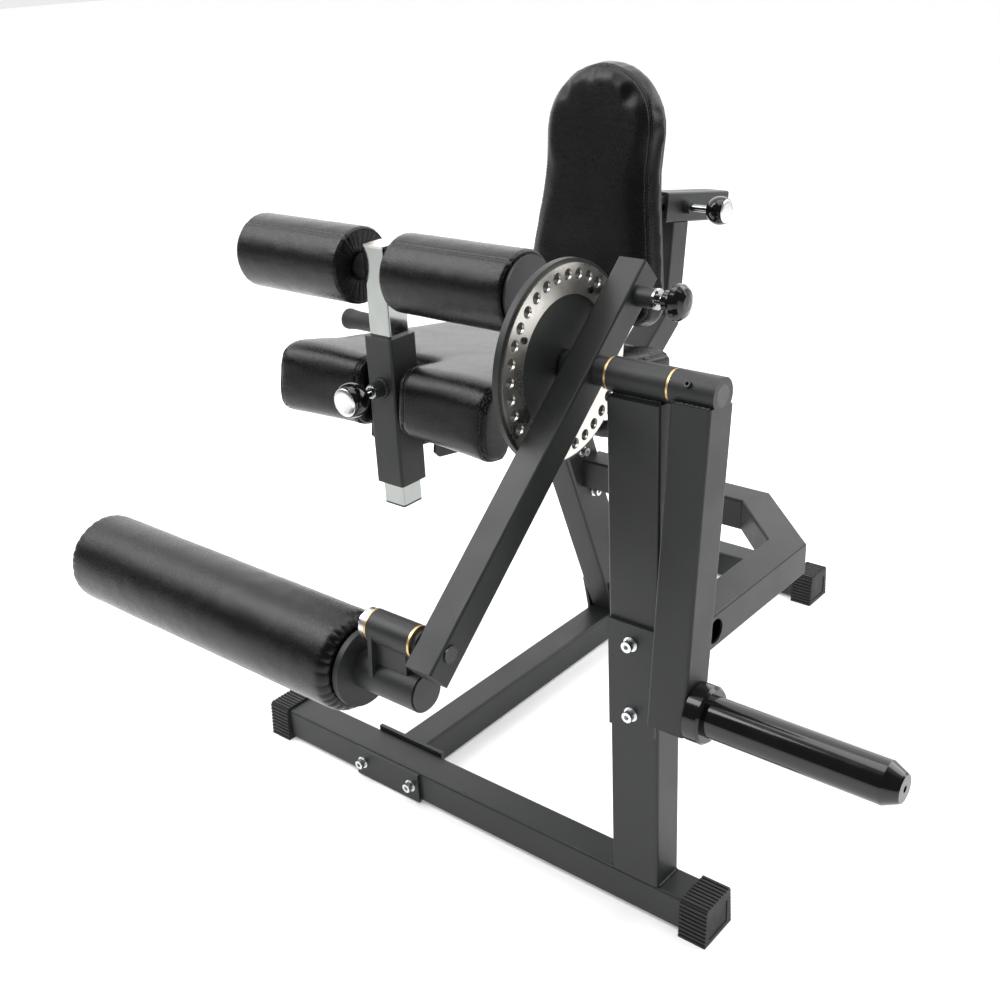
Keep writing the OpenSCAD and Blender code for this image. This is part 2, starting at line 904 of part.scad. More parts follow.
// Spacers beside the post and the end discs of the thigh rollers
module thigh_collars() {
    color(rubber) place() difference() {
        for (s = [-1, 1]) scale([s, 1, 1]) {
            rod_x(slide_w / 2, roller_in - 0.3, post_y, thigh_z, 18);
            rod_x(roller_out + 0.4, roller_out + 5, post_y, thigh_z, 46);
        }
        rod_x(-roller_out - 7, roller_out + 7, post_y, thigh_z, axle_r + press);
    }
}

module thigh_roller(side) {
    color(vinyl) place() scale([side, 1, 1]) difference() {
        rod_x(roller_in, roller_out, post_y, thigh_z, thigh_r);
        rod_x(roller_in - 1, roller_out + 1, post_y, thigh_z, axle_r + running);
    }
}

module left_thigh_roller() {
    thigh_roller(-1);
}

module right_thigh_roller() {
    thigh_roller(1);
}

// Slide of the backrest, with adjusting holes in its side face
module back_slide() {
    color(coat) tilted() difference() {
        along_y([0, slide_start, slide_axis])
            linear_extrude(slide_end - slide_start) ring(slide_w, slide_w, slide_wall, 3);
        for (k = [-4:2])
            rod_x(slide_w / 2 - 5, slide_w, back_pin_u + k * back_pitch, slide_axis, hole_r);
    }
}

module back_slide_plug() {
    color(rubber) tilted() translate([0, slide_end, slide_axis])
        rotate([-90, 0, 0]) end_plug(slide_w, 3);
}

// Outline of the backrest: a round head, flaring sides and round lower corners
function arc(x, y, r, from, to, step) =
    [for (a = [from:step:to]) [x + r * cos(a), y + r * sin(a)]];

function back_outline(inset) = let (
    side = [[101, 376], [105, 331], [114, 271], [123, 206]],
    flip = [for (p = side) [inset - p[0], p[1]]],
    right = [for (k = [3:-1:0]) [side[k][0] - inset, side[k][1]]]
) concat(arc(0, 433, 103 - inset, 0, 180, 12), flip,
    arc(-93, 172, 35 - inset, 180, 270, 15), arc(93, 172, 35 - inset, 270, 360, 15), right);

module back_board() {
    color("#2b2622") tilted() translate([0, slide_start, 0]) rotate([90, 0, 0])
        linear_extrude(board_t) polygon(back_outline(7));
}

module back_pad() {
    color(vinyl) tilted() translate([0, slide_start - board_t, 0]) rotate([90, 0, 0])
        linear_extrude(slide_start - board_t - back_face) polygon(back_outline(0));
}

module arm_pin() {
    color(chrome) place() rod_x(ring_x + ring_t + 1.3, 425.5, pin_y, pin_z, pin_r);
}

// Mushroom knob on the arm pin
module arm_knob() {
    color(rubber) place() translate([425.5, pin_y, pin_z]) rotate([0, 90, 0])
        rotate_extrude() polygon([[0, 0], [11.5, 0], [11, 6], [12, 11], [19, 12.5],
            [21.5, 16], [21, 21], [17, 26], [9, 29.3], [0, 30]]);
}

// Ball knob with a flat face, along +Z from its rear rim
module ball_knob() {
    ball_r = 24;
    rise = 22;
    difference() {
        translate([0, 0, rise]) sphere(r = ball_r);
        translate([-30, -30, -10]) cube([60, 60, 10]);
        translate([-30, -30, rise + 14]) cube([60, 60, 20]);
    }
}

module thigh_pin() {
    color(chrome) place() rod_y(22, post_y - slide_w / 2 - 2, 0, thigh_pin_z, pin_r);
}

module thigh_knob() {
    color(rubber) place() translate([0, 22, thigh_pin_z]) rotate([90, 0, 0]) ball_knob();
}

module back_pin() {
    color(chrome) tilted() rod_x(slide_w / 2 + 1.5, 71, back_pin_u, slide_axis, pin_r);
}

module back_knob() {
    color(rubber) tilted() translate([71, back_pin_u, slide_axis]) rotate([0, 90, 0]) ball_knob();
}

front_beam();
rubber_feet();
post();
pivot_housing();
housing_bushes();
base_tube();
base_plates();
brace_side();
brace_corner();
brace_cross();
brace_plates();
strut();
frame_bolts();
rear_beam();
seat_tube();
seat_rails();
seat_board();
seat_pad();
thigh_receiver();
receiver_liners();
handle_bars();
hand_grips();
back_diagonal();
back_upright();
back_receiver();
main_shaft();
index_disc();
index_ring();
shaft_screws();
weight_lever();
lever_hub();
horn_collar();
horn_sleeve();
horn_cap();
roller_arm();
swing_shaft();
swing_collar();
swing_bracket();
swing_bushes();
axle_caps();
flange_disc();
ankle_roller();
ankle_core();
thigh_post();
thigh_top_cap();
thigh_foot_plug();
thigh_axle();
thigh_collars();
left_thigh_roller();
right_thigh_roller();
back_slide();
back_slide_plug();
back_board();
back_pad();
arm_pin();
arm_knob();
thigh_pin();
thigh_knob();
back_pin();
back_knob();
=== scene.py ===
import json
import math
import random
import bmesh
import bpy
from mathutils import Matrix, Vector, noise
from mathutils.bvhtree import BVHTree


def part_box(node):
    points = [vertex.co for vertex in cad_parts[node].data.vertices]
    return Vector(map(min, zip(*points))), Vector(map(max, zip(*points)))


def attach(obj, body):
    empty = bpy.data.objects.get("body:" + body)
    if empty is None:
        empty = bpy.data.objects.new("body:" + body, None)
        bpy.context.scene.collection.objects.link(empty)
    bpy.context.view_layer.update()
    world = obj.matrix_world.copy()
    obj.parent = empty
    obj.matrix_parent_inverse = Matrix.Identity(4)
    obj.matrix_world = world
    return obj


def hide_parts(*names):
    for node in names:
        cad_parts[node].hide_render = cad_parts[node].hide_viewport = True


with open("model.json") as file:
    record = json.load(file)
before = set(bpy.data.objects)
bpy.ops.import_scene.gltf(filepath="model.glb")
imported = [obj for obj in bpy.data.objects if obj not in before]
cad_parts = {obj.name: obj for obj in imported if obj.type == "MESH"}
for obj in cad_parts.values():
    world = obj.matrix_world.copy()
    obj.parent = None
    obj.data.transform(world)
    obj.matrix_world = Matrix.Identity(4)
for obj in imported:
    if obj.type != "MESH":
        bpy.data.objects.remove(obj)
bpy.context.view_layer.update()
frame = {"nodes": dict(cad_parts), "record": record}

# Leg extension and leg curl machine. The frame comes from the CAD model;
# the pads, rollers, knobs, seams and welds are made here around it.

mm = 0.001
scene = bpy.context.scene
nodes = frame["nodes"]


def middle(node):
    low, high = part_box(node)
    return (low + high) / 2


shaftLine = middle("main_shaft")  # the shaft's axis runs along X through this point
seatMid = middle("seat_tube").x
seatTilt = math.radians(9)
seatOrigin = Vector((seatMid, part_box("thigh_receiver")[1].y, 0.535))  # on the seat tube's underside
tilted = Matrix.Translation(seatOrigin) @ Matrix.Rotation(-seatTilt, 4, "X")

print("scene: materials")


def newGroup(name, inputs, outputs):
    group = bpy.data.node_groups.new(name, "ShaderNodeTree")
    for label, kind, value in inputs:
        socket = group.interface.new_socket(name=label, in_out="INPUT", socket_type=kind)
        if value is not None:
            socket.default_value = value
    for label, kind in outputs:
        group.interface.new_socket(name=label, in_out="OUTPUT", socket_type=kind)
    start = group.nodes.new("NodeGroupInput")
    end = group.nodes.new("NodeGroupOutput")
    return group, start, end


def addNode(tree, kind, **values):
    node = tree.nodes.new(kind)
    for key, value in values.items():
        setattr(node, key, value)
    return node


def mathNode(tree, operation, first, second=None, third=None):
    node = addNode(tree, "ShaderNodeMath", operation=operation)
    for index, value in enumerate((first, second, third)):
        if isinstance(value, (int, float)):
            node.inputs[index].default_value = value
        elif value is not None:
            tree.links.new(value, node.inputs[index])
    return node.outputs[0]


def noiseNode(tree, vector, scale, detail=3.0, rough=0.55):
    node = tree.nodes.new("ShaderNodeTexNoise")
    tree.links.new(vector, node.inputs["Vector"])
    if isinstance(scale, (int, float)):
        node.inputs["Scale"].default_value = scale
    else:
        tree.links.new(scale, node.inputs["Scale"])
    node.inputs["Detail"].default_value = detail
    node.inputs["Roughness"].default_value = rough
    return node.outputs["Fac"]


# fine even texture: grains for the height, slow clouds for the colour
def buildGrain():
    group, start, end = newGroup(
        "fineGrain",
        [("Vector", "NodeSocketVector", None), ("Grain", "NodeSocketFloat", 1200.0),
         ("Cloud", "NodeSocketFloat", 14.0)],
        [("Height", "NodeSocketFloat"), ("Cloud", "NodeSocketFloat")])
    fine = noiseNode(group, start.outputs["Vector"], start.outputs["Grain"], 2.0, 0.6)
    slow = noiseNode(group, start.outputs["Vector"], start.outputs["Cloud"], 4.0, 0.6)
    group.links.new(fine, end.inputs["Height"])
    group.links.new(slow, end.inputs["Cloud"])
    return group


# pebbled upholstery grain: cells with soft valleys, creases and a slow mottle; the valley output is
# painted shade, a darker colour in the grain's valleys
def buildLeather():
    group, start, end = newGroup(
        "vinylGrain",
        [("Vector", "NodeSocketVector", None), ("Pebble", "NodeSocketFloat", 620.0),
         ("Crease", "NodeSocketFloat", 30.0)],
        [("Height", "NodeSocketFloat"), ("ValleyShade", "NodeSocketFloat"),
         ("Mottle", "NodeSocketFloat")])
    vector = start.outputs["Vector"]
    cells = addNode(group, "ShaderNodeTexVoronoi", feature="DISTANCE_TO_EDGE")
    group.links.new(vector, cells.inputs["Vector"])
    group.links.new(start.outputs["Pebble"], cells.inputs["Scale"])
    pebble = mathNode(group, "SMOOTH_MIN", cells.outputs["Distance"], 0.22, 0.15)
    crease = noiseNode(group, vector, start.outputs["Crease"], 5.0, 0.62)
    mottle = noiseNode(group, vector, 9.0, 3.0, 0.5)
    height = mathNode(group, "ADD", mathNode(group, "MULTIPLY", pebble, 2.4),
                      mathNode(group, "MULTIPLY", crease, 0.9))
    group.links.new(height, end.inputs["Height"])
    # painted shade: the colour output goes darker in the pebble valleys
    group.links.new(mathNode(group, "MULTIPLY", pebble, 4.5), end.inputs["ValleyShade"])
    group.links.new(mottle, end.inputs["Mottle"])
    return group


# fine turned lines around an axis along X
def buildTurned():
    group, start, end = newGroup(
        "turnedLines",
        [("Vector", "NodeSocketVector", None), ("Lines", "NodeSocketFloat", 900.0)],
        [("Height", "NodeSocketFloat"), ("Smudge", "NodeSocketFloat")])
    vector = start.outputs["Vector"]
    split = group.nodes.new("ShaderNodeSeparateXYZ")
    group.links.new(vector, split.inputs[0])
    radius = mathNode(group, "SQRT", mathNode(
        group, "ADD", mathNode(group, "POWER", split.outputs["Y"], 2.0),
        mathNode(group, "POWER", split.outputs["Z"], 2.0)))
    join = group.nodes.new("ShaderNodeCombineXYZ")
    group.links.new(radius, join.inputs["Z"])
    group.links.new(split.outputs["X"], join.inputs["X"])
    lines = noiseNode(group, join.outputs[0], start.outputs["Lines"], 2.0, 0.7)
    smudge = noiseNode(group, vector, 35.0, 4.0, 0.6)
    group.links.new(lines, end.inputs["Height"])
    group.links.new(smudge, end.inputs["Smudge"])
    return group


fineGrain = buildGrain()
vinylGrain = buildLeather()
turnedLines = buildTurned()

# what a user would change on each finish
finishes = {
    "powderCoat": dict(dark=(0.009, 0.0105, 0.0098), light=(0.019, 0.021, 0.0198),
                       rough=(0.36, 0.48), group="grain", scale=900.0, cloud=11.0, bump=0.8,
                       depth=0.0003, shine=0.36),
    "mouldedRubber": dict(dark=(0.006, 0.006, 0.006), light=(0.013, 0.013, 0.013),
                          rough=(0.55, 0.75), group="grain", scale=700.0, cloud=30.0, bump=0.35,
                          depth=0.0002),
    "blackPlastic": dict(dark=(0.010, 0.010, 0.011), light=(0.017, 0.017, 0.018),
                         rough=(0.34, 0.46), group="grain", scale=500.0, cloud=25.0, bump=0.15,
                         depth=0.00015),
    "glossBlack": dict(dark=(0.002, 0.002, 0.0022), light=(0.005, 0.005, 0.0055),
                       rough=(0.07, 0.16), group="grain", scale=160.0, cloud=22.0, bump=0.06,
                       depth=0.0002),
    "zincPlate": dict(dark=(0.60, 0.61, 0.63), light=(0.78, 0.79, 0.80), rough=(0.20, 0.36),
                      group="grain", scale=420.0, cloud=60.0, bump=0.12, depth=0.0001, metal=1.0),
    "mirrorChrome": dict(dark=(0.24, 0.26, 0.25), light=(0.38, 0.39, 0.38), rough=(0.04, 0.12),
                         group="grain", scale=60.0, cloud=18.0, bump=0.02, depth=0.0002, metal=1.0),
    "satinNickel": dict(dark=(0.50, 0.48, 0.44), light=(0.70, 0.68, 0.64), rough=(0.24, 0.38),
                        group="turned", scale=1400.0, bump=0.22, depth=0.0001, metal=1.0,
                        centre=tuple(shaftLine)),
    "sinteredBronze": dict(dark=(0.50, 0.31, 0.13), light=(0.86, 0.62, 0.33), rough=(0.26, 0.44),
                           group="grain", scale=900.0, cloud=140.0, bump=0.3, depth=0.0001,
                           metal=1.0),
    "blackVinyl": dict(dark=(0.0022, 0.0022, 0.0024), light=(0.0060, 0.0060, 0.0063),
                       rough=(0.24, 0.34), group="vinyl", scale=520.0, cloud=30.0, bump=0.30,
                       depth=0.0006, shine=0.27),
    "darkSteel": dict(dark=(0.03, 0.03, 0.032), light=(0.07, 0.07, 0.072), rough=(0.3, 0.45),
                      group="grain", scale=420.0, cloud=60.0, bump=0.12, depth=0.0001, metal=1.0),
    "seamThread": dict(dark=(0.012, 0.012, 0.012), light=(0.030, 0.030, 0.030), rough=(0.5, 0.7),
                       group="grain", scale=2600.0, cloud=300.0, bump=0.6, depth=0.0002),
    "stainedPly": dict(dark=(0.020, 0.015, 0.011), light=(0.055, 0.042, 0.030), rough=(0.50, 0.66),
                       group="grain", scale=300.0, cloud=20.0, bump=0.3, depth=0.0003,
                       stretch=(1.0, 14.0, 14.0)),
}


def buildMaterial(name, look):
    material = bpy.data.materials.new(name)
    material.use_nodes = True
    tree = material.node_tree
    shader = tree.nodes["Principled BSDF"]
    place = tree.nodes.new("ShaderNodeTexCoord")
    mapping = tree.nodes.new("ShaderNodeMapping")
    mapping.inputs["Location"].default_value = [-c for c in look.get("centre", (0, 0, 0))]
    mapping.inputs["Scale"].default_value = look.get("stretch", (1, 1, 1))
    tree.links.new(place.outputs["Object"], mapping.inputs["Vector"])
    texture = tree.nodes.new("ShaderNodeGroup")
    vector = mapping.outputs["Vector"]
    if look["group"] == "grain":
        texture.node_tree = fineGrain
        texture.inputs["Grain"].default_value = look["scale"]
        texture.inputs["Cloud"].default_value = look["cloud"]
        shade = texture.outputs["Cloud"]
    elif look["group"] == "vinyl":
        texture.node_tree = vinylGrain
        texture.inputs["Pebble"].default_value = look["scale"]
        texture.inputs["Crease"].default_value = look["cloud"]
        # vinyl colour: painted shade darkening the pebble valleys, times a random mottle in the
        # vinyl's own tone
        shade = mathNode(tree, "MULTIPLY", texture.outputs["ValleyShade"], texture.outputs["Mottle"])
    else:
        texture.node_tree = turnedLines
        texture.inputs["Lines"].default_value = look["scale"]
        shade = texture.outputs["Smudge"]
    tree.links.new(vector, texture.inputs["Vector"])
    colour = addNode(tree, "ShaderNodeMix", data_type="RGBA")
    colour.inputs["A"].default_value = (*look["dark"], 1)
    colour.inputs["B"].default_value = (*look["light"], 1)
    tree.links.new(shade, colour.inputs["Factor"])
    tree.links.new(colour.outputs["Result"], shader.inputs["Base Color"])
    rough = tree.nodes.new("ShaderNodeMapRange")
    rough.inputs["From Min"].default_value = 0.3
    rough.inputs["From Max"].default_value = 0.7
    rough.inputs["To Min"].default_value = look["rough"][0]
    rough.inputs["To Max"].default_value = look["rough"][1]
    tree.links.new(shade, rough.inputs["Value"])
    tree.links.new(rough.outputs["Result"], shader.inputs["Roughness"])
    bump = tree.nodes.new("ShaderNodeBump")
    bump.inputs["Strength"].default_value = look["bump"]
    bump.inputs["Distance"].default_value = look["depth"]
    tree.links.new(texture.outputs["Height"], bump.inputs["Height"])
    tree.links.new(bump.outputs["Normal"], shader.inputs["Normal"])
    shader.inputs["Metallic"].default_value = look.get("metal", 0.0)
    shader.inputs["Specular IOR Level"].default_value = look.get("shine", 0.5)
    return material


materials = {name: buildMaterial(name, look) for name, look in finishes.items()}
finishOfSlot = {
    "powder_coat": "powderCoat", "rubber": "mouldedRubber", "black_plastic": "blackPlastic",
    "gloss_black": "glossBlack", "zinc_plate": "zincPlate", "chrome": "mirrorChrome",
    "satin_nickel": "satinNickel", "bronze": "sinteredBronze", "vinyl": "blackVinyl",
    "plywood": "stainedPly",
}


def dress(piece, finish):
    piece.data.materials.clear()
    piece.data.materials.append(materials[finish])


for part in frame["record"]["subparts"]:
    dress(nodes[part["node"]], finishOfSlot[part["material_slot"]])
dress(nodes["shaft_screws"], "darkSteel")


# Bright bar with its end past that X painted over, as a welded end is
def paintEnd(node, past):
    material = materials["zincPlate"].copy()
    tree = material.node_tree
    shader = tree.nodes["Principled BSDF"]
    place = tree.nodes.new("ShaderNodeTexCoord")
    split = tree.nodes.new("ShaderNodeSeparateXYZ")
    tree.links.new(place.outputs["Object"], split.inputs[0])
    bare = mathNode(tree, "LESS_THAN", split.outputs["X"], past)
    tree.links.new(bare, shader.inputs["Metallic"])
    colour = addNode(tree, "ShaderNodeMix", data_type="RGBA")
    colour.inputs["A"].default_value = (*finishes["powderCoat"]["dark"], 1)
    colour.inputs["B"].default_value = (*finishes["zincPlate"]["light"], 1)
    tree.links.new(bare, colour.inputs["Factor"])
    tree.links.new(colour.outputs["Result"], shader.inputs["Base Color"])
    nodes[node].data.materials.clear()
    nodes[node].data.materials.append(material)


paintEnd("main_shaft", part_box("lever_hub")[0].x + 0.002)
paintEnd("swing_shaft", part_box("swing_shaft")[1].x - 0.012)


def newPiece(name, mesh, finish, body):
    piece = bpy.data.objects.new(name, mesh)
    scene.collection.objects.link(piece)
    dress(piece, finish)
    mesh.polygons.foreach_set("use_smooth", [True] * len(mesh.polygons))
    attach(piece, body)
    return piece


def meshOf(bm, name, sharp=None):
    if sharp is not None:
        for edge in bm.edges:
            if len(edge.link_faces) == 2 and edge.calc_face_angle(0) > math.radians(sharp):
                edge.smooth = False
    mesh = bpy.data.meshes.new(name)
    bm.to_mesh(mesh)
    bm.free()
    return mesh


# Turned shape about +Z from (radius, height) points
def turned(profile, steps=64):
    bm = bmesh.new()
    verts = [bm.verts.new((r, 0, z)) for r, z in profile]
    edges = [bm.edges.new(pair) for pair in zip(verts, verts[1:])]
    bmesh.ops.spin(bm, geom=verts + edges, cent=(0, 0, 0), axis=(0, 0, 1),
                   angle=2 * math.pi, steps=steps, use_merge=True)
    bmesh.ops.remove_doubles(bm, verts=bm.verts, dist=1e-6)
    bmesh.ops.recalc_face_normals(bm, faces=bm.faces)
    return bm


def pointing(axis, at):
    return Matrix.Translation(at) @ Vector(axis).to_track_quat("Z", "Y").to_matrix().to_4x4()


# Round bar through points; ripple makes a weld's scales
def bar(points, radius, closed=False, ripple=0.0, sides=3):
    curve = bpy.data.curves.new("bar", "CURVE")
    curve.dimensions = "3D"
    curve.bevel_depth = radius
    curve.bevel_resolution = sides
    curve.use_fill_caps = True
    spline = curve.splines.new("POLY")
    spline.points.add(len(points) - 1)
    for index, (point, target) in enumerate(zip(points, spline.points)):
        target.co = (*point, 1)
        target.radius = 1 + ripple * math.sin(index * 2.1)
    spline.use_cyclic_u = closed
    holder = bpy.data.objects.new("bar", curve)
    scene.collection.objects.link(holder)
    mesh = bpy.data.meshes.new_from_object(holder.evaluated_get(
        bpy.context.evaluated_depsgraph_get()))
    bpy.data.objects.remove(holder)
    bpy.data.curves.remove(curve)
    return mesh


def joined(meshes, name):
    bm = bmesh.new()
    for mesh in meshes:
        bm.from_mesh(mesh)
        bpy.data.meshes.remove(mesh)
    return meshOf(bm, name)


def between(points, step):
    # even points along a broken line
    out = []
    for a, b in zip(points, points[1:]):
        a, b = Vector(a), Vector(b)
        count = max(1, round((b - a).length / step))
        out += [a.lerp(b, k / count) for k in range(count)]
    return out + [Vector(points[-1])]


print("scene: pads")

remeshSize = {"seat": 6.0, "back": 5.0}


def addBlock(bm, low, high, round, segments=3):
    low, high = Vector(low) * mm, Vector(high) * mm
    made = bmesh.ops.create_cube(bm, size=1.0)["verts"]
    bmesh.ops.scale(bm, vec=high - low, verts=made)
    bmesh.ops.translate(bm, vec=(low + high) / 2, verts=made)
    edges = list({e for v in made for e in v.link_edges})
    bmesh.ops.bevel(bm, geom=edges, offset=round * mm, offset_type="OFFSET", segments=segments,
                    profile=0.5, affect="EDGES", material=-1)


def shell(mesh, voxel):
    holder = bpy.data.objects.new("shell", mesh)
    scene.collection.objects.link(holder)
    remesh = holder.modifiers.new("remesh", "REMESH")
    remesh.mode = "VOXEL"
    remesh.voxel_size = voxel * mm
    remesh.use_smooth_shade = True
    done = bpy.data.meshes.new_from_object(holder.evaluated_get(
        bpy.context.evaluated_depsgraph_get()))
    bpy.data.objects.remove(holder)
    return done


# Swells a closed cover under pressure; held() says which points stay on the board
def swell(mesh, pressure, cap, held):
    holder = bpy.data.objects.new("cover", mesh)
    scene.collection.objects.link(holder)
    start = [v.co.copy() for v in mesh.vertices]
    pinned = holder.vertex_groups.new(name="held")
    pinned.add([v.index for v in mesh.vertices if held(v.co)], 1.0, "REPLACE")
    cloth = holder.modifiers.new("cloth", "CLOTH")
    cloth.settings.quality = 5
    cloth.settings.use_pressure = True
    cloth.settings.uniform_pressure_force = pressure
    cloth.settings.effector_weights.gravity = 0
    cloth.settings.vertex_group_mass = "held"
    cloth.settings.tension_stiffness = 12
    cloth.settings.compression_stiffness = 12
    cloth.settings.bending_stiffness = 1.5
    cloth.collision_settings.use_collision = False
    for step in range(1, 21):
        scene.frame_set(step)
    swollen = holder.evaluated_get(bpy.context.evaluated_depsgraph_get()).data
    ends = [v.co.copy() for v in swollen.vertices]
    holder.modifiers.remove(cloth)
    for vertex, first, last in zip(mesh.vertices, start, ends):
        move = last - first
        if move.length > cap * mm:
            move *= cap * mm / move.length
        vertex.co = first + move
    scene.frame_set(1)
    bm = bmesh.new()
    bm.from_mesh(mesh)
    for turn in range(4):
        bmesh.ops.smooth_vert(bm, verts=bm.verts, factor=0.5, use_axis_x=True,
                              use_axis_y=True, use_axis_z=True)
    bm.to_mesh(mesh)
    bm.free()
    finer = holder.modifiers.new("finer", "SUBSURF")
    finer.levels = 1
    finer.render_levels = 1
    done = bpy.data.meshes.new_from_object(holder.evaluated_get(
        bpy.context.evaluated_depsgraph_get()))
    bpy.data.objects.remove(holder)
    return done


def treeOf(mesh):
    bm = bmesh.new()
    bm.from_mesh(mesh)
    tree = BVHTree.FromBMesh(bm)
    bm.free()
    return tree


def laidOn(tree, points, sink):
    # the points moved onto the cover, sunk by that much, with the cover's normals there
    placed, normals = [], []
    for point in points:
        spot, normal, _, _ = tree.find_nearest(point)
        placed.append(spot - normal * sink)
        normals.append(normal)
    return placed, normals


# Pulls the cover in along a sewn line
def sewnIn(mesh, path, width, depth):
    tree = BVHTree.FromPolygons([p for p in path], [(i, i + 1, i) for i in range(len(path) - 1)])
    bm = bmesh.new()
    bm.from_mesh(mesh)
    bm.normal_update()
    for vertex in bm.verts:
        spot, _, _, gap = tree.find_nearest(vertex.co, width * 2.5 * mm)
        if spot is not None:
            vertex.co -= vertex.normal * depth * mm * math.exp(-(gap / (width * mm)) ** 2)
    bm.to_mesh(mesh)
    bm.free()


# Row of short threads along a line on the cover, set off to one side of the seam
def threads(tree, path, aside, pitch=6.0, length=4.2, thick=0.55):
    bm = bmesh.new()
    points = between(path, pitch * mm)
    for a, b in zip(points, points[1:]):
        spot, normal, _, _ = tree.find_nearest((a + b) / 2)
        along = (b - a).normalized()
        side = normal.cross(along).normalized()
        spot, normal, _, _ = tree.find_nearest(spot + side * aside * mm)
        turn = Matrix((along, side, normal)).transposed().to_4x4()
        made = bmesh.ops.create_icosphere(bm, subdivisions=1, radius=1.0)["verts"]
        bmesh.ops.scale(bm, vec=(length * mm / 2, thick * mm, thick * mm), verts=made)
        bmesh.ops.transform(bm, matrix=Matrix.Translation(spot + normal * 0.1 * mm) @ turn,
                            verts=made)
    return meshOf(bm, "threads")


seatLook = dict(half=200.0, notch=36.5, rear=374.0, low=64.0, top=120.0, frontOuter=-79.0,
                frontInner=-76.0, frontLow=20.0, sag=6.0, lobeRear=-14.0, rearRound=18.0,
                round=31.0, endRound=5.0, pressure=8.0,
                cap=6.0)


# Front roll: a rounded outline drawn out along X, its ends only just rounded
def addLobe(look, inner, outer):
    bm = bmesh.new()
    front, low, top, r = look["frontInner"], look["frontLow"], look["top"], look["round"]
    rear, curve = look["lobeRear"], look["rearRound"]
    outline = [(rear - curve + curve * math.sin(math.radians(a)),
                low + curve - curve * math.cos(math.radians(a))) for a in range(0, 91, 15)]
    outline += [(rear, top - 50), (22, top - 46), (22, top)]
    outline += [(front + r + r * math.cos(math.radians(a)), top - r + r * math.sin(math.radians(a)))
                for a in range(90, 181, 15)]
    outline += [(front + r + r * math.cos(math.radians(a)), low + r + r * math.sin(math.radians(a)))
                for a in range(180, 271, 15)]
    face = bm.faces.new([bm.verts.new((inner * mm, u * mm, w * mm)) for u, w in outline])
    grown = bmesh.ops.extrude_face_region(bm, geom=[face])
    moved = [g for g in grown["geom"] if isinstance(g, bmesh.types.BMVert)]
    bmesh.ops.translate(bm, vec=((outer - inner) * mm, 0, 0), verts=moved)
    bmesh.ops.recalc_face_normals(bm, faces=bm.faces)
    rims = [e for e in bm.edges if abs(e.verts[0].co.x - e.verts[1].co.x) < 1e-6]
    bmesh.ops.bevel(bm, geom=rims, offset=look["endRound"] * mm, offset_type="OFFSET", segments=2,
                    profile=0.5, affect="EDGES", material=-1)
    return bm


def buildSeat(look):
    bm = bmesh.new()
    for side in (-1, 1):
        inner, outer = sorted((side * look["notch"], side * look["half"]))
        addBlock(bm, (inner, -20, look["low"]), (outer, look["rear"], look["top"]), 12)
        lobe = addLobe(look, inner, outer)
        lean = (look["frontOuter"] - look["frontInner"]) / (look["half"] - look["notch"])
        for vertex in lobe.verts:  # the front edge runs forward towards the outer side
            share = (abs(vertex.co.x) / mm - look["notch"]) / (look["half"] - look["notch"])
            vertex.co.y += lean * (abs(vertex.co.x) - look["notch"] * mm)
            if vertex.co.z < 0.06:
                vertex.co.z -= look["sag"] * mm * share
        held = bpy.data.meshes.new("lobe")
        lobe.to_mesh(held)
        lobe.free()
        bm.from_mesh(held)
        bpy.data.meshes.remove(held)
    addBlock(bm, (-60, 6, look["low"]), (60, look["rear"], look["top"]), 12)
    cover = shell(meshOf(bm, "seatCover"), remeshSize["seat"])
    cover = swell(cover, look["pressure"], look["cap"],
                  lambda co: co.z < (look["low"] + 3) * mm and co.y > 0.02)
    bm = bmesh.new()
    bm.from_mesh(cover)
    for vertex in bm.verts:  # the seat's crown sinks a little where it is sat on
        away = Vector((vertex.co.x / 0.16, (vertex.co.y - 0.2) / 0.17))
        if vertex.co.z > 0.1:
            vertex.co.z -= 0.0025 * math.exp(-away.length_squared)
            vertex.co.z += 0.0007 * noise.noise(vertex.co * 22)
        if vertex.co.y < 0.03:
            vertex.co.y += 0.0012 * noise.noise(Vector((vertex.co.x * 10, 4, vertex.co.z * 34)))
    bm.to_mesh(cover)
    bm.free()
    return cover


def lobePath(look, side, x, rear):
    # round the front lobe from the top to the underside, at one distance from the middle
    share = (abs(x) - look["notch"]) / (look["half"] - look["notch"])
    front = look["frontInner"] + (look["frontOuter"] - look["frontInner"]) * share
    top, low, r = look["top"] + 5, look["frontLow"] - look["sag"] * share - 5, look["round"] + 6
    outline = [(rear, top), (front + r, top)]
    for step in range(1, 7):
        turn = math.radians(15 * step)
        outline.append((front + r - (r + 4) * math.sin(turn), top - r + r * math.cos(turn)))
    for step in range(0, 7):
        turn = math.radians(15 * step)
        outline.append((front + r - (r + 4) * math.cos(turn), low + r - r * math.sin(turn)))
    outline.append((look["lobeRear"] - 14, low))
    return [Vector((side * x * mm, u * mm, w * mm)) for u, w in outline]


seatCover = buildSeat(seatLook)
seatSeams = []
for side in (-1, 1):
    seatSeams.append(between(lobePath(seatLook, side, seatLook["half"] - 5, 366), 5 * mm))
    seatSeams.append(between(lobePath(seatLook, side, seatLook["notch"] + 7, -10), 5 * mm))
for seam in seatSeams:
    onCover, _ = laidOn(treeOf(seatCover), seam, 0)
    sewnIn(seatCover, onCover, 3.2, 1.6)
seatTree = treeOf(seatCover)
seatTrim, seatThreads = [], []
for index, seam in enumerate(seatSeams):
    onCover, _ = laidOn(seatTree, seam, 0.2 * mm)
    seatTrim.append(bar(onCover, 1.5 * mm))
    for aside in (-4.2, 4.2):
        seatThreads.append(threads(seatTree, onCover, aside))


def finishPad(name, cover, body, node):
    cover.transform(tilted)
    pad = newPiece(name, cover, "blackVinyl", body)
    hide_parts(node)
    return pad


def finishTrim(name, meshes, finish, body, matrix=tilted):
    mesh = joined(meshes, name)
    mesh.transform(matrix)
    return newPiece(name, mesh, finish, body)


